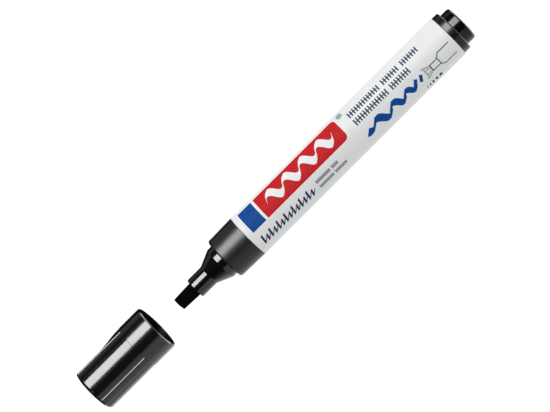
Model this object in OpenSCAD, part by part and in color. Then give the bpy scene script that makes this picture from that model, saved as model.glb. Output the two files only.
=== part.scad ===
// Calligraphy marker, uncapped, lying on its side with its cap off in front of the nib.
// Millimetres, +Z up. The marker's axis runs along X with the nib towards -X.
// The origin is on the table, under the middle of the whole length from cap to rear end.

/* [Barrel] */
// Outside diameter of the barrel tube
barrel_d = 16.5; // [13.5:0.1:20]
// Length of the barrel tube
barrel_l = 93.3; // [80:0.1:115]
// Thickness of the barrel's wall
barrel_wall = 1.2; // [1:0.1:1.4]
// Number of lengthwise ribs inside the barrel
rib_count = 6; // [4:1:8]

/* [Front section] */
// Length of the wide part in front of the barrel
section_l = 11; // [9:0.1:14]
// How far the ring that the cap seals on lies below the front edge of the wide part
seat_step = 1.75; // [1.4:0.05:2.2]
// Length of that sealing ring
seat_l = 2; // [1.6:0.1:2.6]
// Length of the cone between the sealing ring and the nozzle
cone_l = 5.5; // [4.5:0.1:7]
// Plastic on each side of the nib at the nozzle's mouth
nozzle_wall = 1.15; // [0.9:0.05:1.4]
// Length of the nozzle
nozzle_l = 6.4; // [5:0.1:7]

/* [Nib] */
// Width of the chisel nib where it leaves the nozzle
nib_w = 5.2; // [4:0.1:6.4]
// Width of the nib at its writing edge
nib_edge_w = 4.6; // [3.8:0.1:5]
// Thickness of the nib
nib_t = 2.8; // [2.2:0.1:3.2]
// Thickness of the writing edge
nib_edge_t = 1.2; // [0.8:0.1:1.6]
// Length of nib that stands out of the nozzle
nib_out = 7.8; // [6:0.1:9.4]

/* [Rear plug] */
// How far the plug's flange lies below the barrel's surface
flange_step = 0.4; // [0.1:0.05:0.8]
// Thickness of the flange
flange_l = 2.7; // [2:0.1:4]
// How far the post behind the flange lies below the flange's rim
post_step = 1.35; // [0.8:0.05:2]
// Length of the post
post_l = 3.8; // [3:0.1:6]

/* [Cap] */
// Room left in front of the nib inside the closed cap
nib_room = 0.65; // [0.4:0.05:6]
// Thickness of the cap's wall at its mouth
cap_wall = 0.48; // [0.45:0.01:0.9]
// Length of the smooth collar at the cap's mouth
collar_l = 9.4; // [7:0.1:12]
// Number of lengthwise flutes on the closed part
flute_count = 12; // [8:1:16]
// Depth of a flute, a V whose walls stand at right angles to each other
flute_depth = 0.22; // [0.05:0.01:0.25]
// How far the thumb flat on one side of the closed part lies below the collar
flat_depth = 0.95; // [0.5:0.05:1]
// Length over which the thumb flat rises to the collar
ramp_l = 10; // [5:0.5:12]
// Distance from the nib's writing edge to the cap's mouth when the cap is off
cap_gap = 10.2; // [6:0.1:20]

/* [Hidden] */
$fn = 96;

black = "#1a1c1e";
eps = 0.01;

// Fits between the pieces, as radial or end clearances
cap_fit = 0.04;
seal_fit = 0.05;
nib_fit = 0.05;
core_fit = 0.1;
end_fit = 0.1;
flex_gap = 0.3;

// Diameters that follow from the barrel
bore_d = barrel_d - 2 * barrel_wall;
section_rear_d = barrel_d - 0.1;
section_front_d = barrel_d - 0.6;
seat_d = section_front_d - 2 * seat_step;
flange_d = barrel_d - 2 * flange_step;
post_d = flange_d - 2 * post_step;
nozzle_d = nib_w + 2 * nozzle_wall;
film_wall = 0.15;
film_d = bore_d - 1.6;
core_d = film_d - 2 * film_wall;
reservoir_room_d = film_d + 2 * core_fit;

// Cap and liner sizes, which follow from what they close on
cover_l = 5.75;
covered_d = section_front_d + (section_rear_d - section_front_d) * cover_l / section_l;
cap_bore_d = covered_d + 2 * cap_fit;
collar_d = cap_bore_d + 2 * cap_wall;
cap_body_d = collar_d - 0.2;
cap_round = 1.2;
cap_floor = 1.5;
seal_d = seat_d + 2 * seal_fit;
liner_bore_d = seal_d + 0.4;
liner_d = seal_d + 1.5;
liner_floor = 0.7;
cap_l = cover_l + seat_l + cone_l + nozzle_l + nib_out + nib_room + liner_floor + cap_floor;

// Places along the axis
total_l = cap_l + cap_gap + nib_out + nozzle_l + cone_l + seat_l + section_l
    + barrel_l + flange_l + post_l;
rear_x = total_l / 2;
flange_x = rear_x - post_l;
barrel_rear_x = flange_x - flange_l;
barrel_front_x = barrel_rear_x - barrel_l;
section_front_x = barrel_front_x - section_l;
seat_front_x = section_front_x - seat_l;
cone_front_x = seat_front_x - cone_l;
nozzle_x = cone_front_x - nozzle_l;
nib_edge_x = nozzle_x - nib_out;
mouth_x = nib_edge_x - cap_gap;
cap_end_x = mouth_x - cap_l;
shoulder_x = mouth_x - collar_l;
liner_x = mouth_x - cover_l - end_fit;
liner_end_x = cap_end_x + cap_floor;
axis_z = collar_d / 2;

// Inner layout
tail_l = 9;
reservoir_front_x = barrel_front_x - 8;
skirt_l = 7;
reservoir_rear_x = barrel_rear_x - skirt_l - 1;
nib_bite = 10;
nib_rear_x = reservoir_front_x + nib_bite;
throat_l = 6.7;
throat_front_d = nib_w + 1;
throat_rear_d = nib_w + 4.4;
rib_w = 1.0;

// Snap beads that hold the front section and the plug in the barrel
bead_h = 0.25;
bead_w = 1.2;
front_bead_x = barrel_front_x + 5;
rear_bead_x = barrel_rear_x - 4;

// Places children on the marker's axis with local Z along +X
module on_axis(x) translate([x, 0, axis_z]) rotate([0, 90, 0]) children();

// Round bar or hole along the axis from x0 to x1, optionally tapered
module bar(x0, x1, d0, d1 = 0)
    on_axis(x0) cylinder(h = x1 - x0, d1 = d0, d2 = d1 > 0 ? d1 : d0);

// Ring-shaped bead along the axis, centred on x, standing h proud of diameter d
module bead(x, d, h, w) {
    on_axis(x) rotate_extrude()
        polygon([[d / 2 - 1, -w / 2], [d / 2, -w / 2], [d / 2 + h, -w / 6],
            [d / 2 + h, w / 6], [d / 2, w / 2], [d / 2 - 1, w / 2]]);
}

// Rectangular bar along the axis, centred on it, wide in Y and thin in Z
module flat_bar(x0, x1, w, t) translate([x0, -w / 2, axis_z - t / 2]) cube([x1 - x0, w, t]);

// White tube with lengthwise ribs inside that hold the reservoir
module barrel() {
    rib_front_x = barrel_front_x + tail_l + 2;
    rib_rear_x = barrel_rear_x - skirt_l - 2;
    color("#eef0ee") {
        difference() {
            bar(barrel_front_x, barrel_rear_x, barrel_d);
            bar(barrel_front_x - 1, barrel_rear_x + 1, bore_d);
            bead(front_bead_x, bore_d, bead_h, bead_w);
            bead(rear_bead_x, bore_d, bead_h, bead_w);
        }
        difference() {
            for (i = [0:rib_count - 1])
                translate([0, 0, axis_z]) rotate([i * 360 / rib_count, 0, 0])
                    translate([rib_front_x, -rib_w / 2, 0])
                        cube([rib_rear_x - rib_front_x, rib_w, bore_d / 2 + barrel_wall / 2]);
            bar(rib_front_x - 1, rib_rear_x + 1, reservoir_room_d);
        }
    }
}

// Moulded section: wide shoulder, sealing ring, cone and nozzle, with a tail inside the barrel
module front_section() {
    chamfer = 0.7;
    lip = 0.4;
    color(black) difference() {
        union() {
            on_axis(0) rotate_extrude() polygon([
                [0, nozzle_x], [nozzle_d / 2 - lip, nozzle_x], [nozzle_d / 2, nozzle_x + lip],
                [nozzle_d / 2, cone_front_x], [seat_d / 2 - 0.1, seat_front_x],
                [seat_d / 2, seat_front_x], [seat_d / 2, section_front_x],
                [section_front_d / 2 - chamfer, section_front_x],
                [section_front_d / 2, section_front_x + chamfer],
                [section_rear_d / 2, barrel_front_x], [bore_d / 2, barrel_front_x],
                [bore_d / 2, barrel_front_x + tail_l], [0, barrel_front_x + tail_l]]);
            bead(front_bead_x, bore_d, bead_h, bead_w);
        }
        bar(reservoir_front_x, barrel_front_x + tail_l + 1, reservoir_room_d);
        bar(reservoir_front_x - throat_l, reservoir_front_x + eps, throat_front_d, throat_rear_d);
        flat_bar(nozzle_x - 1, reservoir_front_x, nib_w + 2 * nib_fit, nib_t + 2 * nib_fit);
    }
}

// Felt stem of the nib, through the nozzle and into the reservoir
module nib_stem() {
    tail_taper = 2.5;
    color("#202124") intersection() {
        flat_bar(nozzle_x, nib_rear_x, nib_w, nib_t);
        translate([0, nib_w, axis_z]) rotate([90, 0, 0]) linear_extrude(2 * nib_w)
            polygon([[nozzle_x, -nib_t], [nib_rear_x - tail_taper, -nib_t],
                [nib_rear_x - tail_taper, -nib_t / 2], [nib_rear_x, -nib_t / 6],
                [nib_rear_x, nib_t / 6], [nib_rear_x - tail_taper, nib_t / 2],
                [nib_rear_x - tail_taper, nib_t], [nozzle_x, nib_t]]);
    }
}

// Writing end of the nib: a wedge that narrows a little and ends in a slanted edge
module nib_tip() {
    slant = 0.3;
    wedge_l = 4.6;
    x_back = nozzle_x - flex_gap;
    color("#202124") intersection() {
        translate([0, 0, axis_z - nib_t]) linear_extrude(2 * nib_t)
            polygon([[x_back, -nib_w / 2], [x_back, nib_w / 2],
                [nib_edge_x, nib_edge_w / 2], [nib_edge_x + slant, -nib_edge_w / 2]]);
        translate([0, nib_w, axis_z]) rotate([90, 0, 0]) linear_extrude(2 * nib_w)
            polygon([[x_back, -nib_t / 2], [x_back, nib_t / 2],
                [nib_edge_x + wedge_l, nib_t / 2], [nib_edge_x - eps, nib_edge_t / 2],
                [nib_edge_x - eps, -nib_edge_t / 2], [nib_edge_x + wedge_l, -nib_t / 2]]);
    }
}

// Bundle of fibres that holds the ink, with the hole that the nib's stem sits in
module fibre_reservoir() {
    color("#2a2a30") difference() {
        bar(reservoir_front_x, reservoir_rear_x, core_d);
        flat_bar(reservoir_front_x - 1, nib_rear_x + nib_fit, nib_w + 2 * nib_fit,
            nib_t + 2 * nib_fit);
    }
}

// Plastic film wrapped round the bundle
module reservoir_film() {
    color("#c8d0d4") difference() {
        bar(reservoir_front_x, reservoir_rear_x, film_d);
        bar(reservoir_front_x - 1, reservoir_rear_x + 1, core_d);
    }
}

// Plug that closes the barrel: skirt inside, flange against the end, post behind
module end_plug() {
    skirt_wall = 1.1;
    post_round = 0.9;
    pusher_d = 5;
    color(black) {
        difference() {
            union() {
                bar(barrel_rear_x - skirt_l, barrel_rear_x + eps, bore_d);
                bead(rear_bead_x, bore_d, bead_h, bead_w);
            }
            bar(barrel_rear_x - skirt_l - 1, barrel_rear_x - 0.5, bore_d - 2 * skirt_wall);
        }
        bar(reservoir_rear_x, barrel_rear_x, pusher_d);
        on_axis(0) rotate_extrude() {
            polygon([[0, barrel_rear_x], [flange_d / 2, barrel_rear_x],
                [flange_d / 2, flange_x - 0.4], [flange_d / 2 - 0.4, flange_x],
                [post_d / 2, flange_x], [post_d / 2, rear_x - post_round],
                [post_d / 2 - post_round, rear_x - post_round], [post_d / 2 - post_round, rear_x],
                [0, rear_x]]);
            translate([post_d / 2 - post_round, rear_x - post_round]) circle(r = post_round);
        }
    }
}

// One cutter for a flute, which ends square at the collar
module flute_cutter() {
    reach = 2 * flute_depth;
    translate([0, cap_body_d / 2 - flute_depth, cap_end_x - 1])
        linear_extrude(shoulder_x - cap_end_x + 1)
            polygon([[0, 0], [reach, reach], [-reach, reach]]);
}

// Cutter for the thumb flat on the +Y side: level, then a ramp up to the collar
module thumb_flat_cutter() {
    level_y = collar_d / 2 - flat_depth;
    translate([0, 0, -collar_d]) linear_extrude(2 * collar_d + axis_z)
        polygon([[cap_end_x - 1, level_y], [shoulder_x - ramp_l, level_y],
            [shoulder_x, collar_d / 2], [shoulder_x, collar_d], [cap_end_x - 1, collar_d]]);
}

// Outer cap: smooth collar at the mouth, and a fluted closed part with a thumb flat
module cap_shell() {
    color(black) difference() {
        on_axis(0) difference() {
            rotate_extrude() {
                polygon([[0, cap_end_x], [cap_body_d / 2 - cap_round, cap_end_x],
                    [cap_body_d / 2 - cap_round, cap_end_x + cap_round],
                    [cap_body_d / 2, cap_end_x + cap_round], [cap_body_d / 2, shoulder_x - 0.1],
                    [collar_d / 2, shoulder_x],
                    [collar_d / 2, mouth_x - 0.15], [collar_d / 2 - 0.15, mouth_x],
                    [0, mouth_x]]);
                translate([cap_body_d / 2 - cap_round, cap_end_x + cap_round])
                    circle(r = cap_round);
            }
            for (i = [0:flute_count - 1])
                rotate([0, 0, i * 360 / flute_count]) flute_cutter();
        }
        thumb_flat_cutter();
        bar(liner_x, mouth_x + 1, cap_bore_d);
        bar(liner_end_x, liner_x + eps, liner_d);
    }
}

// Inner cup that seals round the nozzle: lip on the sealing ring, wider room for the nib
module cap_liner() {
    lip_l = seat_l + 0.4;
    color("#3a3d40") difference() {
        bar(liner_end_x, liner_x, liner_d);
        bar(liner_x - lip_l, liner_x + 1, seal_d);
        bar(liner_end_x + liner_floor, liner_x - lip_l + eps, liner_bore_d);
    }
}

barrel();
front_section();
nib_stem();
nib_tip();
fibre_reservoir();
reservoir_film();
end_plug();
cap_shell();
cap_liner();
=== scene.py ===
"""Calligraphy marker lying uncapped, with its fluted cap off in front of the nib."""
import math
import random

import bmesh
import bpy
from mathutils import Matrix, Vector


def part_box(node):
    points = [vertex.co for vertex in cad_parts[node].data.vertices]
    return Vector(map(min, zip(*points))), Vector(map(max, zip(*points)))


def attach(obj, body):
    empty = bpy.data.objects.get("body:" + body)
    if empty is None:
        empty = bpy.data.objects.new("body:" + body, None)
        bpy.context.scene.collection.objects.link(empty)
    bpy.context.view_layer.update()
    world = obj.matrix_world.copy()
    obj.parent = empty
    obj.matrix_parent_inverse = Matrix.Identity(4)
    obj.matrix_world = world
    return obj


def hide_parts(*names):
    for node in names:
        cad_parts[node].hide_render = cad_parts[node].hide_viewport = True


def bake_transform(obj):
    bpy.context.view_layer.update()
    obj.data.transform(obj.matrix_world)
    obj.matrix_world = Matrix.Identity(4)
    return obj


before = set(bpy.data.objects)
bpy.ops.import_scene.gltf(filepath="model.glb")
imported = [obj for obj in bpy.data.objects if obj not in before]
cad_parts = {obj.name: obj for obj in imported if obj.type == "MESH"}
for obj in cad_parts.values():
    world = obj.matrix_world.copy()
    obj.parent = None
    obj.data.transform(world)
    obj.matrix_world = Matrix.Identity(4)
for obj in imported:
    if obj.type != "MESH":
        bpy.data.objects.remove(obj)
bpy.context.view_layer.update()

MM = 0.001
TURN = 2 * math.pi
TINY = 1e-7

# ---------------------------------------------------------------- sizes from the frame
BARREL_LOW, BARREL_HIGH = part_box("barrel")
SECTION_LOW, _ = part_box("front_section")
STEM_LOW, STEM_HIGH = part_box("nib_stem")
TIP_LOW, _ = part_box("nib_tip")
PLUG_LOW, PLUG_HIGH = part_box("end_plug")
CAP_LOW, CAP_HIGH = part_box("cap_shell")
LINER_LOW, LINER_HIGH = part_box("cap_liner")

AXIS_Z = (BARREL_LOW.z + BARREL_HIGH.z) / 2
BARREL_R = (BARREL_HIGH.z - BARREL_LOW.z) / 2
BARREL_FRONT, BARREL_REAR = BARREL_LOW.x, BARREL_HIGH.x
NOZZLE_X = SECTION_LOW.x
NIB_EDGE_X = TIP_LOW.x
REAR_X = PLUG_HIGH.x
FLANGE_R = (PLUG_HIGH.z - PLUG_LOW.z) / 2
COLLAR_R = (CAP_HIGH.y - CAP_LOW.y) / 2
CAP_END_X, MOUTH_X = CAP_LOW.x, CAP_HIGH.x
LINER_R = (LINER_HIGH.z - LINER_LOW.z) / 2
LINER_END_X, LINER_X = LINER_LOW.x, LINER_HIGH.x

# ---------------------------------------------------------------- sizes of the visible forms
BARREL_WALL = 1.2 * MM
BORE_R = BARREL_R - BARREL_WALL
SEAM = 0.02 * MM
NOZZLE_R = 3.75 * MM
NOZZLE_L = 6.4 * MM
CONE_L = 5.5 * MM
SEAT_R = 6.2 * MM
SEAT_L = 2.0 * MM
SECTION_FRONT_R = BARREL_R - 0.3 * MM
SECTION_REAR_R = BARREL_R - 0.05 * MM
SECTION_FRONT_X = NOZZLE_X + NOZZLE_L + CONE_L + SEAT_L
POST_R = 6.5 * MM
POST_L = 3.8 * MM
COLLAR_STEP = 0.1 * MM
CAP_BODY_R = COLLAR_R - COLLAR_STEP
SHOULDER_X = MOUTH_X - 9.4 * MM
CAP_BORE_R = 8.12 * MM
CAP_FLUTES = 12
FLUTE_DEPTH = 0.22 * MM
FLAT_DEPTH = 0.95 * MM
FLAT_Y = COLLAR_R - FLAT_DEPTH
RAMP_L = 10 * MM
SEAL_R = 6.25 * MM
LINER_BORE_R = 6.45 * MM
LINER_FLOOR = 0.7 * MM
SLOT_DEPTH = 4 * MM
SECTION_TAIL = 6 * MM
PLUG_SKIRT = 5 * MM
NIB_EDGE_W = 4.6 * MM
NIB_EDGE_T = 1.2 * MM
NIB_WEDGE_L = 4.6 * MM


# ---------------------------------------------------------------- mesh helpers
def rounded(points, steps=6, closed=False):
    """The outline with its corners rounded: a point is (x, r) or (x, r, corner radius)."""
    outline = []
    for i, point in enumerate(points):
        here = Vector(point[:2])
        radius = point[2] if len(point) > 2 else 0
        at_end = not closed and i in (0, len(points) - 1)
        if radius == 0 or at_end:
            outline.append(here)
            continue
        back = (Vector(points[i - 1][:2]) - here).normalized()
        ahead = (Vector(points[(i + 1) % len(points)][:2]) - here).normalized()
        half = back.angle(ahead) / 2
        centre = here + (back + ahead).normalized() * radius / math.sin(half)
        first = here + back * radius / math.tan(half) - centre
        last = here + ahead * radius / math.tan(half) - centre
        sweep = math.atan2(first.x * last.y - first.y * last.x, first.dot(last))
        for k in range(steps + 1):
            a = sweep * k / steps
            turned = (first.x * math.cos(a) - first.y * math.sin(a),
                      first.x * math.sin(a) + first.y * math.cos(a))
            outline.append(centre + Vector(turned))
    return outline


def held(outline, closed=False, longest=None):
    """Adds points beside the corners, so that smooth shading stays near them."""
    hold = 0.08 * MM
    result = []
    pairs = list(zip(outline, outline[1:]))
    if closed:
        pairs.append((outline[-1], outline[0]))
    for a, b in pairs:
        result.append(a)
        length = (b - a).length
        if length > 6 * hold:
            inner = 1 if longest is None else max(1, math.ceil(length / longest))
            result.append(a + (b - a) * hold / length)
            result.extend(a.lerp(b, k / inner) for k in range(1, inner))
            result.append(b - (b - a) * hold / length)
    if not closed:
        result.append(outline[-1])
    return result


def piece(name, bm, material, body, sharp_deg=38):
    """Makes an object from bm, smooth but for its sharp edges, riding on a body."""
    bmesh.ops.recalc_face_normals(bm, faces=bm.faces)
    limit = math.radians(sharp_deg)
    for face in bm.faces:
        face.smooth = True
    for edge in bm.edges:
        edge.smooth = len(edge.link_faces) == 2 and edge.calc_face_angle() < limit
    mesh = bpy.data.meshes.new(name)
    bm.to_mesh(mesh)
    bm.free()
    obj = bpy.data.objects.new(name, mesh)
    bpy.context.scene.collection.objects.link(obj)
    materials = material if isinstance(material, (list, tuple)) else [material]
    for m in materials:
        mesh.materials.append(m)
    if body:
        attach(obj, body)
    return obj


def skin(bm, loops, closed=False):
    """Faces between each loop of vertices and the next, where a loop may be a single vertex."""
    count = max(len(loop) for loop in loops)
    pairs = list(zip(loops, loops[1:]))
    if closed:
        pairs.append((loops[-1], loops[0]))
    for a, b in pairs:
        for k in range(count):
            n = (k + 1) % count
            corners = [a[k % len(a)], a[n % len(a)], b[n % len(b)], b[k % len(b)]]
            bm.faces.new(list(dict.fromkeys(corners)))


def rings(sections, segments=192, closed=False):
    """A skin through rings round the marker's axis. A section is (x, radius), where radius is
    a number or a function of the angle from +Y; a radius of 0 closes the skin to a point."""
    bm = bmesh.new()
    loops = []
    for x, radius in sections:
        if not callable(radius) and radius < TINY:
            loops.append([bm.verts.new((x, 0, AXIS_Z))])
            continue
        loop = []
        for k in range(segments):
            a = TURN * k / segments
            r = radius(a) if callable(radius) else radius
            loop.append(bm.verts.new((x, r * math.cos(a), AXIS_Z + r * math.sin(a))))
        loops.append(loop)
    skin(bm, loops, closed)
    return bm


def rounded_box_radius(width, height, corner):
    """Radius of a rounded rectangle in each direction, width along Y and height along Z."""
    def radius(a):
        c, s = abs(math.cos(a)), abs(math.sin(a))
        w, h = width / 2, height / 2
        flat = min(w / c if c > 1e-9 else 1, h / s if s > 1e-9 else 1)
        y, z = flat * c, flat * s
        if y <= w - corner or z <= h - corner:
            return flat
        cy, cz = w - corner, h - corner
        along = cy * c + cz * s
        return along + math.sqrt(max(0, along ** 2 - cy ** 2 - cz ** 2 + corner ** 2))
    return radius


# ---------------------------------------------------------------- shader helpers
def node_group(name, inputs, outputs):
    """An empty shader group with named float or colour sockets."""
    group = bpy.data.node_groups.new(name, "ShaderNodeTree")
    for label, kind, value in inputs:
        socket = group.interface.new_socket(label, in_out="INPUT", socket_type=kind)
        socket.default_value = value
    for label, kind in outputs:
        group.interface.new_socket(label, in_out="OUTPUT", socket_type=kind)
    ends = [group.nodes.new(kind) for kind in ("NodeGroupInput", "NodeGroupOutput")]
    return group, Maker(group), *ends


class Maker:
    """Short calls for making and joining nodes in one tree."""

    def __init__(self, tree):
        self.tree = tree

    def node(self, kind, **settings):
        made = self.tree.nodes.new(kind)
        for key, value in settings.items():
            setattr(made, key, value)
        return made

    def put(self, source, socket):
        """Joins source to the socket if it is an output, or sets it as the socket's value."""
        if isinstance(source, bpy.types.NodeSocket):
            self.tree.links.new(source, socket)
        else:
            socket.default_value = source

    def math(self, operation, a, b=0.0):
        made = self.node("ShaderNodeMath", operation=operation)
        self.put(a, made.inputs[0])
        self.put(b, made.inputs[1])
        return made.outputs[0]

    def remap(self, value, from_low, from_high, to_low=0.0, to_high=1.0):
        made = self.node("ShaderNodeMapRange", clamp=True)
        for socket, v in zip(made.inputs, (value, from_low, from_high, to_low, to_high)):
            self.put(v, socket)
        return made.outputs[0]

    def mix(self, factor, a, b):
        made = self.node("ShaderNodeMix", data_type="RGBA")
        self.put(factor, made.inputs["Factor"])
        self.put(a, made.inputs[6])
        self.put(b, made.inputs[7])
        return made.outputs[2]

    def stretched(self, scale, stretch):
        """Object coordinates, in units of 1/scale metres, squeezed by stretch along X, Y, Z."""
        coords = self.node("ShaderNodeTexCoord")
        mapping = self.node("ShaderNodeMapping")
        self.put(coords.outputs["Object"], mapping.inputs["Vector"])
        mapping.inputs["Scale"].default_value = [scale * s for s in stretch]
        return mapping.outputs[0]

    def noise(self, vector, scale=1.0, detail=3.0, roughness=0.55):
        made = self.node("ShaderNodeTexNoise")
        self.put(vector, made.inputs["Vector"])
        self.put(scale, made.inputs["Scale"])
        self.put(detail, made.inputs["Detail"])
        self.put(roughness, made.inputs["Roughness"])
        return made.outputs["Fac"]


def make_fine_grain():
    """Moulded grain: an even, fine pebble for bumps and gloss."""
    group, m, gi, go = node_group("fine_grain", [("Grains per mm", "NodeSocketFloat", 6.0),
                                                 ("Softness", "NodeSocketFloat", 0.5)],
                                  [("Height", "NodeSocketFloat")])
    per_metre = m.math("MULTIPLY", gi.outputs["Grains per mm"], 1000.0)
    coords = m.node("ShaderNodeTexCoord").outputs["Object"]
    fine = m.noise(coords, per_metre, 2.0, gi.outputs["Softness"])
    broad = m.noise(coords, m.math("MULTIPLY", per_metre, 0.31), 2.0, 0.5)
    m.put(m.math("MULTIPLY_ADD", fine, 0.7), go.inputs["Height"])
    last = go.inputs["Height"].links[0].from_node
    m.put(m.math("MULTIPLY", broad, 0.3), last.inputs[2])
    return group


def make_handling_marks():
    """Faint scuffs and finger marks: long thin scratches and soft smudges, as masks."""
    group, m, gi, go = node_group("handling_marks", [("Amount", "NodeSocketFloat", 0.5)],
                                  [("Scratches", "NodeSocketFloat"),
                                   ("Smudges", "NodeSocketFloat")])
    lengthwise = m.noise(m.stretched(1600, (0.06, 1, 1)), 1.0, 2.0, 0.6)
    crosswise = m.noise(m.stretched(1300, (1, 0.09, 0.09)), 1.0, 2.0, 0.6)
    thin = m.remap(m.math("MAXIMUM", lengthwise, crosswise), 0.68, 0.76)
    patches = m.remap(m.noise(m.stretched(160, (1, 1, 1)), 1.0, 3.0, 0.6), 0.5, 0.62)
    scratches = m.math("MULTIPLY", thin, patches)
    smudges = m.remap(m.noise(m.stretched(230, (0.8, 1, 1)), 1.0, 4.0, 0.65), 0.45, 0.7)
    m.put(m.math("MULTIPLY", scratches, gi.outputs["Amount"]), go.inputs["Scratches"])
    m.put(m.math("MULTIPLY", smudges, gi.outputs["Amount"]), go.inputs["Smudges"])
    return group


def make_mottle():
    """Slow, slight changes of tone over a surface, between two shades."""
    group, m, gi, go = node_group("mottle", [("Lighter", "NodeSocketColor", (1, 1, 1, 1)),
                                             ("Darker", "NodeSocketColor", (0.8, 0.8, 0.8, 1)),
                                             ("Patches per mm", "NodeSocketFloat", 0.5)],
                                  [("Color", "NodeSocketColor")])
    coords = m.node("ShaderNodeTexCoord").outputs["Object"]
    patches = m.noise(coords, m.math("MULTIPLY", gi.outputs["Patches per mm"], 1000.0), 4.0, 0.6)
    spread = m.remap(patches, 0.3, 0.7)
    m.put(m.mix(spread, gi.outputs["Lighter"], gi.outputs["Darker"]), go.inputs["Color"])
    return group


FINE_GRAIN = make_fine_grain()
HANDLING_MARKS = make_handling_marks()
MOTTLE = make_mottle()


def new_material(name):
    """A material, a maker for its nodes, and its shader."""
    material = bpy.data.materials.new(name)
    material.use_nodes = True
    m = Maker(material.node_tree)
    shader = material.node_tree.nodes["Principled BSDF"]
    return material, m, shader


def placed(m, group, **values):
    """The group as a node, with its inputs set by name."""
    made = m.node("ShaderNodeGroup", node_tree=group)
    for label, value in values.items():
        made.inputs[label.replace("_", " ")].default_value = value
    return made


def bumped(m, shader, height, distance):
    """A bump of that height in metres on the shader's normal."""
    bump = m.node("ShaderNodeBump")
    bump.inputs["Strength"].default_value = 1.0
    bump.inputs["Distance"].default_value = distance
    m.put(height, bump.inputs["Height"])
    m.put(bump.outputs["Normal"], shader.inputs["Normal"])


def plastic(name, light, dark, gloss, worn, grain_per_mm, grain_height, marks, shine=0.5):
    """Moulded plastic: mottled colour, gloss that scuffs roughen, and a fine grain."""
    material, m, shader = new_material(name)
    tone = placed(m, MOTTLE, Lighter=(*light, 1), Darker=(*dark, 1), Patches_per_mm=0.12)
    m.put(tone.outputs["Color"], shader.inputs["Base Color"])
    wear = placed(m, HANDLING_MARKS, Amount=marks)
    scuffed = m.math("MAXIMUM", wear.outputs["Scratches"],
                     m.math("MULTIPLY", wear.outputs["Smudges"], 0.35))
    m.put(m.remap(scuffed, 0.0, 1.0, gloss, worn), shader.inputs["Roughness"])
    shader.inputs["IOR"].default_value = 1.5
    shader.inputs["Specular IOR Level"].default_value = shine
    grain = placed(m, FINE_GRAIN, Grains_per_mm=grain_per_mm)
    height = m.math("SUBTRACT", grain.outputs["Height"],
                    m.math("MULTIPLY", wear.outputs["Scratches"], 0.6))
    bumped(m, shader, height, grain_height)
    return material


def ink(name, light, dark):
    """Screen-printed ink: slightly uneven in tone and gloss, with a fine grain."""
    material, m, shader = new_material(name)
    tone = placed(m, MOTTLE, Lighter=(*light, 1), Darker=(*dark, 1), Patches_per_mm=0.9)
    m.put(tone.outputs["Color"], shader.inputs["Base Color"])
    grain = placed(m, FINE_GRAIN, Grains_per_mm=9.0)
    m.put(m.remap(grain.outputs["Height"], 0.3, 0.7, 0.56, 0.70), shader.inputs["Roughness"])
    shader.inputs["Specular IOR Level"].default_value = 0.04
    bumped(m, shader, grain.outputs["Height"], 0.004 * MM)
    return material


def felt(name, light, dark, fibre_stretch, fibre_height):
    """Bonded fibres along the axis, soaked and matt."""
    material, m, shader = new_material(name)
    fibres = m.noise(m.stretched(9000, fibre_stretch), 1.0, 4.0, 0.7)
    tufts = m.noise(m.stretched(2500, (0.5, 1, 1)), 1.0, 3.0, 0.6)
    cover = m.math("MULTIPLY", m.remap(fibres, 0.3, 0.7), m.remap(tufts, 0.2, 0.8))
    m.put(m.mix(cover, (*dark, 1), (*light, 1)), shader.inputs["Base Color"])
    m.put(m.remap(tufts, 0.3, 0.7, 0.72, 0.92), shader.inputs["Roughness"])
    shader.inputs["Specular IOR Level"].default_value = 0.015
    bumped(m, shader, m.math("ADD", fibres, tufts), fibre_height)
    return material


# ---------------------------------------------------------------- materials
WHITE_BARREL = plastic("white_moulded_barrel", (0.80, 0.815, 0.81), (0.765, 0.785, 0.785),
                       gloss=0.52, worn=0.60, grain_per_mm=5.0, grain_height=0.003 * MM,
                       marks=0.45, shine=0.14)
CAP_GLOSS = plastic("black_polished_cap", (0.0048, 0.0050, 0.0058), (0.0036, 0.0038, 0.0045),
                    gloss=0.17, worn=0.30, grain_per_mm=2.2, grain_height=0.0015 * MM, marks=0.5)
NOZZLE_GLOSS = plastic("black_polished_nozzle", (0.004, 0.004, 0.0045), (0.003, 0.003, 0.0035),
                       gloss=0.13, worn=0.28, grain_per_mm=2.5, grain_height=0.0015 * MM,
                       marks=0.4)
SECTION_SATIN = plastic("black_satin_section", (0.011, 0.012, 0.013), (0.008, 0.009, 0.0095),
                        gloss=0.34, worn=0.44, grain_per_mm=7.0, grain_height=0.010 * MM,
                        marks=0.5, shine=0.31)
PLUG_SATIN = plastic("black_satin_plug", (0.008, 0.0085, 0.009), (0.006, 0.0062, 0.0068),
                     gloss=0.25, worn=0.38, grain_per_mm=6.0, grain_height=0.006 * MM,
                     marks=0.5, shine=0.28)
POST_GLOSS = plastic("black_polished_post", (0.003, 0.003, 0.0035), (0.002, 0.002, 0.0025),
                     gloss=0.13, worn=0.26, grain_per_mm=2.5, grain_height=0.0015 * MM,
                     marks=0.4, shine=0.24)
LINER_PLASTIC = plastic("grey_liner", (0.012, 0.012, 0.013), (0.008, 0.008, 0.009),
                        gloss=0.35, worn=0.5, grain_per_mm=4.0, grain_height=0.006 * MM,
                        marks=0.3)
NIB_FELT = felt("ink_soaked_nib_felt", (0.0014, 0.0014, 0.0015), (0.0006, 0.0006, 0.0007),
                fibre_stretch=(0.12, 1, 1), fibre_height=0.035 * MM)
CORE_FELT = felt("ink_soaked_fibre_bundle", (0.035, 0.035, 0.045), (0.012, 0.012, 0.018),
                 fibre_stretch=(0.05, 1, 1), fibre_height=0.05 * MM)
FILM = plastic("clear_wrap_film", (0.62, 0.66, 0.68), (0.55, 0.6, 0.62),
               gloss=0.15, worn=0.3, grain_per_mm=1.5, grain_height=0.004 * MM, marks=0.5)
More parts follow.
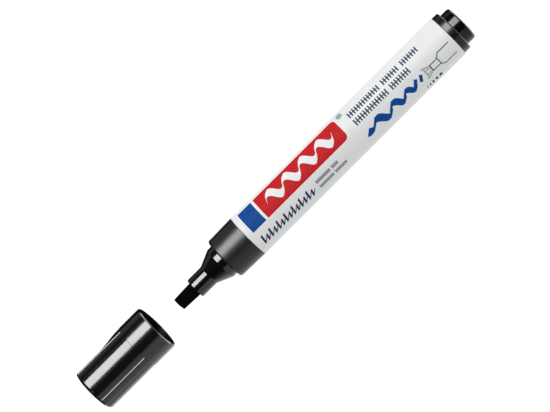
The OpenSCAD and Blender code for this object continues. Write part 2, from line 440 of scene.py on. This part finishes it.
RED_INK = ink("red_ink", (0.60, 0.012, 0.017), (0.50, 0.008, 0.012))
BLUE_INK = ink("blue_ink", (0.002, 0.075, 0.33), (0.001, 0.05, 0.25))
NAVY_INK = ink("navy_ink", (0.030, 0.042, 0.11), (0.02, 0.03, 0.08))
GREY_INK = ink("grey_ink", (0.11, 0.12, 0.14), (0.07, 0.08, 0.10))
PALE_INK = ink("pale_grey_ink", (0.38, 0.41, 0.44), (0.30, 0.33, 0.36))
WHITE_INK = ink("white_ink", (0.88, 0.89, 0.88), (0.82, 0.83, 0.82))


# ---------------------------------------------------------------- barrel, section, plug
def make_barrel():
    """White tube, open at both ends."""
    outline = rounded([(BARREL_FRONT, BORE_R, 0.1 * MM), (BARREL_FRONT, BARREL_R, 0.22 * MM),
                       (BARREL_REAR, BARREL_R, 0.25 * MM), (BARREL_REAR, BORE_R, 0.1 * MM)],
                      closed=True)
    outline = held(outline, closed=True, longest=12 * MM)
    obj = piece("barrel_tube", rings(outline, closed=True), WHITE_BARREL, "marker")
    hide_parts("barrel")


def make_front_section():
    """Nozzle with the nib's slot in its mouth, cone, sealing ring and wide shoulder."""
    slot_room, mouth_room = 0.1 * MM, 0.34 * MM
    slot = rounded_box_radius(STEM_HIGH.y - STEM_LOW.y + slot_room,
                              STEM_HIGH.z - STEM_LOW.z + slot_room, 0.45 * MM)
    slot_mouth = rounded_box_radius(STEM_HIGH.y - STEM_LOW.y + mouth_room,
                                    STEM_HIGH.z - STEM_LOW.z + mouth_room, 0.55 * MM)
    cone_x = NOZZLE_X + NOZZLE_L
    seat_x = cone_x + CONE_L
    outer = rounded([(NOZZLE_X, 2.9 * MM), (NOZZLE_X, NOZZLE_R, 0.4 * MM),
                     (cone_x, NOZZLE_R, 1.6 * MM), (seat_x, SEAT_R - 0.05 * MM, 0.5 * MM),
                     (SECTION_FRONT_X, SEAT_R, 0.15 * MM),
                     (SECTION_FRONT_X, SECTION_FRONT_R, 0.75 * MM),
                     (BARREL_FRONT - SEAM, SECTION_REAR_R, 0.15 * MM),
                     (BARREL_FRONT - SEAM, BORE_R)])
    outer = held(outer, longest=3 * MM)
    blind = NOZZLE_X + SLOT_DEPTH
    sections = [(blind, 0), (blind, slot), (NOZZLE_X + 0.2 * MM, slot),
                (NOZZLE_X + 0.04 * MM, slot_mouth)]
    sections += [tuple(p) for p in outer]
    tail_x = BARREL_FRONT + SECTION_TAIL
    sections += [(tail_x, BORE_R), (tail_x, 0)]
    obj = piece("front_section_shell", rings(sections), [NOZZLE_GLOSS, SECTION_SATIN], "marker")
    for face in obj.data.polygons:
        wide = math.hypot(face.center.y, face.center.z - AXIS_Z) > SEAT_R + 0.4 * MM
        face.material_index = 1 if wide and face.center.x > SECTION_FRONT_X - 0.3 * MM else 0
    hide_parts("front_section")


def make_plug():
    """Satin flange against the barrel's rear end, with a polished post behind it."""
    flange_x = REAR_X - POST_L
    skirt_x = BARREL_REAR - PLUG_SKIRT
    outline = rounded([(skirt_x, 0), (skirt_x, BORE_R), (BARREL_REAR + SEAM, BORE_R),
                       (BARREL_REAR + SEAM, FLANGE_R, 0.2 * MM),
                       (flange_x, FLANGE_R, 0.4 * MM), (flange_x, POST_R, 0.2 * MM),
                       (REAR_X, POST_R, 0.9 * MM), (REAR_X, 0)])
    outline = held(outline, longest=4 * MM)
    obj = piece("rear_plug", rings(outline), [PLUG_SATIN, POST_GLOSS], "marker")
    for face in obj.data.polygons:
        face.material_index = 1 if face.center.x > flange_x + 0.1 * MM else 0
    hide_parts("end_plug")


# ---------------------------------------------------------------- nib
def make_nib():
    """One felt nib: stem, straight sides, chisel wedge and a slanted writing edge."""
    width, thick = STEM_HIGH.y - STEM_LOW.y, STEM_HIGH.z - STEM_LOW.z
    slant, slant_l = 0.3 * MM, 3 * MM
    fuzz_height = 0.012 * MM
    stem_rear = STEM_HIGH.x
    rear_taper = 2.5 * MM
    count = 84
    pitch = 0.25 * MM

    def size_at(x):
        """Width and thickness of the nib at x."""
        out = (NOZZLE_X - x) / (NOZZLE_X - NIB_EDGE_X)
        w = width + (NIB_EDGE_W - width) * max(0, min(1, out))
        wedge = max(0, min(1, (NIB_EDGE_X + NIB_WEDGE_L - x) / NIB_WEDGE_L))
        t = thick + (NIB_EDGE_T - thick) * wedge
        tail = max(0, (x - (stem_rear - rear_taper)) / rear_taper)
        return w * (1 - 0.2 * tail), t * (1 - 0.6 * tail)

    def ring(x, shrink):
        """Points round the nib at x, shrunk towards its axis."""
        w, t = size_at(x)
        corner = min(0.42 * MM, t * 0.3)
        radius = rounded_box_radius(w, t, corner)
        points = []
        for k in range(count):
            a = TURN * k / count
            a = math.atan2(math.sin(a) * t, math.cos(a) * w)
            r = radius(a) * shrink
            points.append((r * math.cos(a), r * math.sin(a)))
        return points

    stations = [(NIB_EDGE_X, 0.0), (NIB_EDGE_X, 0.6), (NIB_EDGE_X + 0.03 * MM, 0.82),
                (NIB_EDGE_X + 0.10 * MM, 0.92), (NIB_EDGE_X + 0.22 * MM, 0.98),
                (NIB_EDGE_X + 0.36 * MM, 1.0)]
    x = NIB_EDGE_X + 0.6 * MM
    while x < NOZZLE_X + 2 * MM:
        stations.append((x, 1.0))
        x += pitch
    stations += [(stem_rear - rear_taper, 1.0), (stem_rear, 1.0), (stem_rear, 0.0)]
    bm = bmesh.new()
    loops = []
    grain = random.Random(7)
    for x, shrink in stations:
        if shrink == 0:
            loops.append([bm.verts.new((x, 0, AXIS_Z))])
            continue
        loop = []
        for y, z in ring(x, shrink):
            lead = max(0, 1 - (x - NIB_EDGE_X) / slant_l)
            shift = slant * (0.5 - y / width) * lead
            fuzz = grain.uniform(-1, 1) * fuzz_height
            scale = 1 + fuzz / max(0.5 * MM, math.hypot(y, z))
            loop.append(bm.verts.new((x + shift, y * scale, AXIS_Z + z * scale)))
        loops.append(loop)
    skin(bm, loops)
    obj = piece("felt_nib", bm, NIB_FELT, None, sharp_deg=60)
    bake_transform(obj)
    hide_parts("nib_stem", "nib_tip")


# ---------------------------------------------------------------- cap
def smooth_min(a, b, blend):
    """The smaller of a and b, with a rounded change between them."""
    mix = max(0, blend - abs(a - b)) / blend
    return min(a, b) - mix * mix * blend / 4


def cap_outline(x, plain_r):
    """Radius round the cap at x: plain_r, less the V-shaped flutes and the thumb flat on +Y."""
    step = TURN / CAP_FLUTES
    rise = max(0, min(1, (x - (SHOULDER_X - RAMP_L)) / RAMP_L))
    flat_y = FLAT_Y + (COLLAR_R - FLAT_Y) * rise * rise * (3 - 2 * rise)

    def radius(a):
        off = abs((a + step / 2) % step - step / 2) * CAP_BODY_R
        r = min(plain_r, CAP_BODY_R - FLUTE_DEPTH + off)
        if math.cos(a) > 0.3:
            r = smooth_min(r, flat_y / math.cos(a), 0.25 * MM * (1 - rise) + 0.01 * MM)
        return r
    return radius


def make_cap_shell():
    """Cap with a plain collar at its mouth, and a fluted closed part with a thumb flat."""
    half_step = 0.06 * MM
    bevel_l, bevel_drop = 0.42 * MM, 0.38 * MM
    outer = rounded([(CAP_END_X, 0), (CAP_END_X, CAP_BODY_R, 1.2 * MM),
                     (SHOULDER_X - half_step, CAP_BODY_R, 0.05 * MM),
                     (SHOULDER_X + half_step, COLLAR_R, 0.05 * MM),
                     (MOUTH_X - bevel_l, COLLAR_R, 0.05 * MM),
                     (MOUTH_X, COLLAR_R - bevel_drop, 0.03 * MM), (MOUTH_X, CAP_BORE_R, 0.03 * MM),
                     (LINER_X, CAP_BORE_R), (LINER_X, LINER_R), (LINER_END_X, LINER_R),
                     (LINER_END_X, 0)], steps=8)
    outer = held(outer, longest=0.6 * MM)
    sections = []
    inside = False
    for x, r in outer:
        inside = inside or x > MOUTH_X - 1 * MM
        cut = r > TINY and not inside and x < SHOULDER_X
        sections.append((x, cap_outline(x, r) if cut else r))
    obj = piece("cap_outer_shell", rings(sections, segments=60 * CAP_FLUTES), CAP_GLOSS, "cap",
                sharp_deg=36)
    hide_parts("cap_shell")


def make_cap_liner():
    """Inner cup of the cap, with the lip that seals on the ring."""
    lip_x = LINER_X - SEAT_L - 0.4 * MM
    outline = rounded([(LINER_END_X, 0), (LINER_END_X, LINER_R), (LINER_X, LINER_R, 0.15 * MM),
                       (LINER_X, SEAL_R, 0.35 * MM), (lip_x, SEAL_R),
                       (lip_x - 0.3 * MM, LINER_BORE_R),
                       (LINER_END_X + LINER_FLOOR, LINER_BORE_R, 1.0 * MM),
                       (LINER_END_X + LINER_FLOOR, 0)])
    outline = held(outline, longest=4 * MM)
    obj = piece("cap_inner_cup", rings(outline), LINER_PLASTIC, "cap")
    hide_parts("cap_liner")


# ---------------------------------------------------------------- printing on the barrel
INK_TOP = 0.016 * MM
INK_SUNK = 0.010 * MM
PRINT_R = BARREL_R / MM


def close_stations(left, right):
    """The two edges with added places, so that ink between them follows the barrel's curve."""
    longest = 0.35
    new_left, new_right = [left[0]], [right[0]]
    for i in range(1, len(left)):
        gaps = [(Vector(side[i]) - Vector(side[i - 1])).length for side in (left, right)]
        parts = max(1, math.ceil(max(gaps) / longest))
        for k in range(1, parts + 1):
            new_left.append(tuple(Vector(left[i - 1]).lerp(Vector(left[i]), k / parts)))
            new_right.append(tuple(Vector(right[i - 1]).lerp(Vector(right[i]), k / parts)))
    return new_left, new_right


class Print:
    """A layer of ink on the barrel. Places are in millimetres: u along the barrel from its front
    edge, v round it from the top line, growing towards -Y."""

    def __init__(self, name, material, level=0):
        self.name = name
        self.material = material
        self.top = BARREL_R + INK_TOP * (1 + level)
        self.bottom = BARREL_R - INK_SUNK
        self.bm = bmesh.new()

    def at(self, u, v, radius):
        a = v / PRINT_R
        return (BARREL_FRONT + u * MM, -radius * math.sin(a), AXIS_Z + radius * math.cos(a))

    def band(self, left, right):
        """Ink between two edges, each a list of (u, v) of the same length."""
        left, right = close_stations(left, right)
        widest = max((Vector(b) - Vector(a)).length for a, b in zip(left, right))
        across = max(1, math.ceil(widest / 0.5))
        grid = {}
        for i, (a, b) in enumerate(zip(left, right)):
            for j in range(across + 1):
                u, v = Vector(a).lerp(Vector(b), j / across)
                grid[i, j] = (self.bm.verts.new(self.at(u, v, self.top)),
                              self.bm.verts.new(self.at(u, v, self.bottom)))
        rows, columns = len(left) - 1, across
        for i in range(rows):
            for j in range(columns):
                corners = [grid[i, j], grid[i + 1, j], grid[i + 1, j + 1], grid[i, j + 1]]
                self.bm.faces.new([c[0] for c in corners])
                self.bm.faces.new([c[1] for c in reversed(corners)])
        rim = [(i, 0) for i in range(rows)] + [(rows, j) for j in range(columns)]
        rim += [(i, columns) for i in range(rows, 0, -1)] + [(0, j) for j in range(columns, 0, -1)]
        for a, b in zip(rim, rim[1:] + rim[:1]):
            self.bm.faces.new([grid[a][0], grid[a][1], grid[b][1], grid[b][0]])

    def stroke(self, path, nib, hair=0.05, shrink=1.0):
        """A pen stroke: the path swept by a chisel edge nib = (du, dv), never thinner than hair.
        The edge grows or shrinks along the path to shrink times its size."""
        left, right = [], []
        for i, p in enumerate(path):
            half = Vector(nib) / 2 * (1 + (shrink - 1) * i / (len(path) - 1))
            ahead = Vector(path[min(i + 1, len(path) - 1)]) - Vector(path[max(i - 1, 0)])
            side = Vector((-ahead.y, ahead.x)).normalized()
            reach = half if half.dot(side) >= 0 else -half
            short = max(0.0, hair - reach.dot(side))
            left.append(tuple(Vector(p) - reach - side * short))
            right.append(tuple(Vector(p) + reach + side * short))
        self.band(left, right)

    def line(self, path, width):
        """A line of even width, mitred at its corners."""
        left, right = [], []
        for i, p in enumerate(path):
            here = Vector(p)
            back = (here - Vector(path[i - 1])).normalized() if i else None
            ahead = (Vector(path[i + 1]) - here).normalized() if i < len(path) - 1 else None
            back, ahead = back or ahead, ahead or back
            tangent = (back + ahead).normalized()
            side = Vector((-tangent.y, tangent.x))
            reach = width / 2 / max(0.3, side.dot(Vector((-back.y, back.x))))
            left.append(tuple(here - side * reach))
            right.append(tuple(here + side * reach))
        self.band(left, right)

    def done(self):
        obj = piece(self.name, self.bm, self.material, "marker")
        return obj


def panel_edges(u0, u1, v0, v1, corner_low=0.0, corner_high=0.0, step=1.0):
    """The two long edges of a panel, with its corners rounded at u0 and at u1."""
    stops = {u0, u1}
    stops.update(u0 + k * step for k in range(1, math.ceil((u1 - u0) / step)))
    for k in range(7):
        reach = 1 - math.cos(math.pi / 2 * k / 6)
        if corner_low:
            stops.add(u0 + corner_low * reach)
        if corner_high:
            stops.add(u1 - corner_high * reach)
    left, right = [], []
    for u in sorted(s for s in stops if u0 <= s <= u1):
        inset = 0.0
        for corner, off in ((corner_low, u - u0), (corner_high, u1 - u)):
            if corner and off < corner:
                inset = corner - math.sqrt(max(0, corner ** 2 - (corner - off) ** 2))
        inset = min(inset, (v1 - v0) / 2 - 0.01)
        left.append((u, v0 + inset))
        right.append((u, v1 - inset))
    return left, right


def wave(u0, middle, swings):
    """A wave whose half-waves have the given (length, height) in turn."""
    samples = 24
    path = [(u0, middle)]
    for length, height in swings:
        start = path[-1][0]
        for k in range(1, samples + 1):
            path.append((start + length * k / samples,
                         middle + height * math.sin(math.pi * k / samples)))
    return path


def make_panels():
    """Red name panel and blue patch, each with a white keyline, left without a name."""
    v0, v1 = -8.75, 0.6
    border = 0.35
    keyline = Print("label_keylines", WHITE_INK)
    keyline.band(*panel_edges(2.1, 47.3, v0 - border, v1 + border, corner_high=2.1))
    keyline.done()
    red = Print("label_red_panel", RED_INK, level=1)
    red.band(*panel_edges(9.5, 46.9, v0, v1, corner_high=1.8))
    red.done()
    blue = Print("label_blue_patch", BLUE_INK, level=1)
    blue.band(*panel_edges(2.45, 8.5, v0, v1))
    blue.done()
    ornament = Print("label_panel_ornament", WHITE_INK, level=2)
    swings = [(3.8, height) for height in (-1.9, 1.9) * 4]
    ornament.stroke(wave(12.9, (v0 + v1) / 2, swings), nib=(1.5, -2.4), hair=0.3)
    ornament.done()
    dot = Print("label_dot", PALE_INK)
    dot.band(*panel_edges(48.0, 50.3, -9.3, -6.6, corner_low=1.1, corner_high=1.1, step=0.3))
    dot.done()


def make_heading():
    """An even row of broad-nib practice strokes in place of a name."""
    heading = Print("label_heading_strokes", NAVY_INK)
    count, u, base, height, extra = 14, 3.0, 6.65, 2.6, 0.9
    pitch = (27.0 - u) / count
    for k in range(count):
        top = base - height - (extra if k % 2 == 0 else 0)
        heading.stroke([(u + 0.45, top), (u + 0.25, (top + base) / 2), (u + 0.05, base)],
                       nib=(0.8, -0.5), hair=0.2)
        heading.stroke([(u + 0.05, base - 0.15), (u + 0.85, base - 0.95),
                        (u + 1.55, base - 1.95)], nib=(0.35, -0.25), hair=0.15)
        u += pitch
    heading.done()


def ticks(layer, u0, base, height, weight, groups):
    """Upright ticks of even height in groups, each group tied by a line at half height."""
    u = u0
    pitch = weight * 2.2
    for count in groups:
        start = u
        for _ in range(count):
            layer.line([(u, base - height), (u, base)], weight)
            u += pitch
        layer.line([(start, base - height / 2), (u - pitch, base - height / 2)], weight * 0.7)
        u += pitch


def make_text_lines():
    """Rows of ticks where the wording was, which say nothing."""
    small = Print("label_small_lines", NAVY_INK)
    for base, groups in ((4.3, [11, 5]), (6.6, [11, 9])):
        ticks(small, u0=28.8, base=base, height=1.4, weight=0.27, groups=groups)
    small.done()
    large = Print("label_use_lines", NAVY_INK)
    for base, groups in ((-3.6, [13, 7, 7]), (-0.2, [14, 8])):
        ticks(large, u0=51.6, base=base, height=2.4, weight=0.50, groups=groups)
    large.done()


def make_stroke_sample():
    """Blue thick and thin wave that shows the nib's stroke, ending in two short strokes."""
    sample = Print("label_stroke_sample", BLUE_INK)
    swings = [(3.0, 0.7), (4.1, -1.45), (3.5, 1.5), (3.7, -1.4), (2.6, 1.3), (2.9, -1.1),
              (2.2, 1.0)]
    sample.stroke(wave(52.3, 4.15, swings), nib=(2.3, -2.1), hair=0.45, shrink=0.62)
    sample.line([(73.4, 4.9), (75.4, 2.5)], 1.25)
    sample.line([(76.3, 4.8), (77.6, 2.6)], 1.15)
    sample.done()


def make_nib_diagram():
    """Outline of a chisel nib in its holder, drawn in thin grey lines."""
    middle = 3.75
    lines = Print("label_nib_outline", GREY_INK)
    half_tip, half_body, thin = 1.15, 2.45, 0.36
    for side in (-1, 1):
        lines.line([(81.4, middle + side * half_tip), (84.9, middle + side * half_tip),
                    (86.5, middle + side * half_body), (91.4, middle + side * half_body)], thin)
    lines.line([(81.7, middle - half_tip - 0.15), (81.7, middle + half_tip + 0.15)], 0.5)
    lines.line([(85.2, middle - half_tip), (85.2, middle + half_tip)], thin)
    lines.done()
    pale = Print("label_nib_shade", PALE_INK)
    for side in (-1, 1):
        pale.line([(78.6, middle + side * 2.15), (81.2, middle + side * 1.2)], 0.5)
        pale.line([(79.3, middle + side * 0.75), (81.2, middle + side * 0.55)], 0.4)
    pale.line([(79.3, middle - 1.45), (79.3, middle + 1.45)], 0.45)
    pale.done()


def make_width_scale():
    """Five small bars of growing width, for the range of strokes."""
    scale = Print("label_width_bars", NAVY_INK)
    u, growth = 76.8, 0.22
    for k in range(5):
        scale.line([(u, 9.3), (u, 8.0)], 0.3 + growth * k)
        u += 1.15 + growth * k
    scale.done()


# ---------------------------------------------------------------- hidden CAD pieces
def finish_inner_pieces():
    """Gives the fibre bundle and its film, which keep their CAD shapes, their own materials."""
    for node, material in (("fibre_reservoir", CORE_FELT), ("reservoir_film", FILM)):
        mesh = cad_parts[node].data
        mesh.materials.clear()
        mesh.materials.append(material)


# ---------------------------------------------------------------- stage, lights, camera
def make_floor():
    """A pale tabletop that glows a little, so that it stays nearly white under soft light."""
    size = 8.0
    bm = bmesh.new()
    bmesh.ops.create_grid(bm, x_segments=4, y_segments=4, size=size)
    material, m, shader = new_material("pale_tabletop")
    tone = placed(m, MOTTLE, Lighter=(0.40, 0.40, 0.40, 1), Darker=(0.385, 0.385, 0.385, 1),
                  Patches_per_mm=0.02)
    m.put(tone.outputs["Color"], shader.inputs["Base Color"])
    shader.inputs["Roughness"].default_value = 0.9
    shader.inputs["Specular IOR Level"].default_value = 0.0
    m.put(tone.outputs["Color"], shader.inputs["Emission Color"])
    shader.inputs["Emission Strength"].default_value = 2.15
    floor = piece("floor", bm, material, None)
    floor.visible_glossy = False


def softbox(name, place, target, width, height, power, glossy, diffuse):
    """A rectangular lamp facing target, which may show in reflections, light matt tones or both."""
    data = bpy.data.lights.new(name, "AREA")
    data.shape = "RECTANGLE"
    data.size, data.size_y = width, height
    data.energy = power
    lamp = bpy.data.objects.new(name, data)
    bpy.context.scene.collection.objects.link(lamp)
    lamp.location = place
    lamp.rotation_euler = (Vector(target) - Vector(place)).to_track_quat("-Z", "Y").to_euler()
    lamp.visible_glossy = glossy
    lamp.visible_diffuse = diffuse
    lamp.visible_camera = False


def around(angle_deg, distance):
    """A point at that distance from the marker's axis, leaning from straight up towards +Y."""
    a = math.radians(angle_deg)
    return (0.0, distance * math.sin(a), AXIS_Z + distance * math.cos(a))


def make_lights():
    middle = (0, 0, AXIS_Z)
    reflections = [("strip_reflection", around(37.0, 0.45), 0.62, 0.315, 10.6),
                   ("fill_reflection", around(-62, 0.60), 1.2, 0.62, 2.3),
                   ("near_table_reflection", around(-130, 0.60), 1.2, 1.0, 4.6),
                   ("far_table_reflection", around(108, 0.60), 1.2, 0.34, 0.5),
                   ("mouth_reflection", (0.85, 0.0, -0.30), 1.8, 1.1, 30.0)]
    for name, place, width, height, power in reflections:
        softbox(name, place, middle, width, height, power, glossy=True, diffuse=False)
    softbox("key_light", around(40, 0.80), middle, width=0.8, height=0.6, power=2.7,
            glossy=False, diffuse=True)
    world = bpy.data.worlds.new("soft_room")
    bpy.context.scene.world = world
    world.use_nodes = True
    background = world.node_tree.nodes["Background"]
    background.inputs["Color"].default_value = (1, 1, 1, 1)
    background.inputs["Strength"].default_value = 0.62
    world.cycles_visibility.glossy = False


CAMERA_FOOT_X = 0.037
CAMERA_HEIGHT = 0.720
AIM = Vector((0.0, 0.00067, AXIS_Z))
VIEW_WIDTH = 0.1823


def make_camera():
    """Camera nearly straight above, with the marker running from lower left to upper right."""
    data = bpy.data.cameras.new("camera")
    camera = bpy.data.objects.new("camera", data)
    bpy.context.scene.collection.objects.link(camera)
    place = Vector((CAMERA_FOOT_X, AIM.y, AXIS_Z + CAMERA_HEIGHT))
    back = (place - AIM).normalized()
    up = Vector((1, 1, 0))
    up = (up - back * up.dot(back)).normalized()
    right = up.cross(back)
    camera.rotation_mode = "QUATERNION"
    rows = [(right[i], up[i], back[i]) for i in range(3)]
    camera.rotation_quaternion = Matrix(rows).to_quaternion()
    camera.location = place
    data.sensor_width = 36
    data.lens = data.sensor_width * (place - AIM).length / VIEW_WIDTH
    data.clip_start, data.clip_end = 0.01, 10
    bpy.context.scene.camera = camera


make_camera()
make_floor()
make_lights()
make_barrel()
make_front_section()
make_plug()
make_nib()
make_cap_shell()
make_cap_liner()
make_panels()
make_heading()
make_text_lines()
make_stroke_sample()
make_nib_diagram()
make_width_scale()
finish_inner_pieces()
bpy.context.scene.view_settings.view_transform = "Standard"
